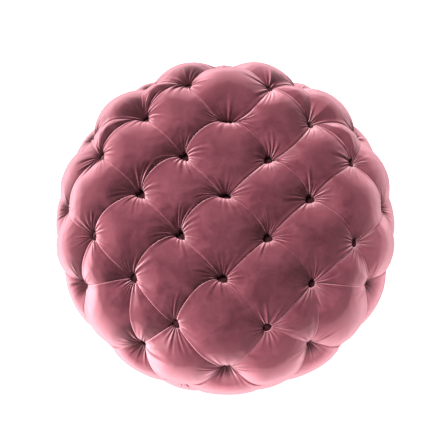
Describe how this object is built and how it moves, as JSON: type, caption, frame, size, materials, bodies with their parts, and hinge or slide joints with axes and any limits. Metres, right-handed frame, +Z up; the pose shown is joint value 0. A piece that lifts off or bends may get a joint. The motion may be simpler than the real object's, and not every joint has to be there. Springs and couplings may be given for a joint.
{
  "type": "pouf",
  "caption": "Round pouf in dusty rose velvet, deep-buttoned into diamonds over its top and side, with a hidden wooden drum and low glides under it.",
  "frame": {"origin": "on the floor under the middle of the pouf", "axes": "+Z up; +X along one row of the top's tufts, to the right of someone who looks along +Y; the pouf has no front, and -Y is the side nearest to the camera in the picture"},
  "size_m": [0.799, 0.799, 0.4],
  "materials": {
    "velvet": "dusty rose velvet with a short dense pile",
    "fibre": "white polyester fibre wadding",
    "foam": "open-cell polyurethane foam, cream yellow",
    "plywood": "sanded birch plywood, unfinished",
    "softwood": "planed pine, unfinished",
    "twine": "waxed linen tufting twine",
    "screw_steel": "zinc-plated steel",
    "staple_steel": "galvanised steel wire",
    "dust_cloth": "black spunbonded dust cloth",
    "black_plastic": "matt black moulded plastic"
  },
  "bodies": {
    "root": {"cover_top": "velvet", "cover_side_1": "velvet", "cover_side_2": "velvet", "cover_side_3": "velvet", "filling_top": "fibre", "filling_side": "fibre", "foam_top": "foam", "foam_side": "foam", "deck_board": "plywood", "wall_board": "plywood", "base_board": "plywood", "upright_1": "softwood", "upright_2": "softwood", "upright_3": "softwood", "upright_4": "softwood", "upright_5": "softwood", "upright_6": "softwood", "buttons_top": "velvet", "buttons_ring_a": "velvet", "buttons_ring_b": "velvet", "buttons_ring_c": "velvet", "twines_top": "twine", "twines_ring_a": "twine", "twines_ring_b": "twine", "twines_ring_c": "twine", "toggles_top": "softwood", "toggles_ring_a": "softwood", "toggles_ring_b": "softwood", "toggles_ring_c": "softwood", "deck_screws": "screw_steel", "base_screws": "screw_steel", "dust_cloth": "dust_cloth", "hem_staples": "staple_steel", "cloth_staples": "staple_steel", "glide_1": "black_plastic", "glide_2": "black_plastic", "glide_3": "black_plastic", "glide_4": "black_plastic", "glide_5": "black_plastic", "glide_6": "black_plastic", "glide_screws": "screw_steel"}
  },
  "joints": []
}
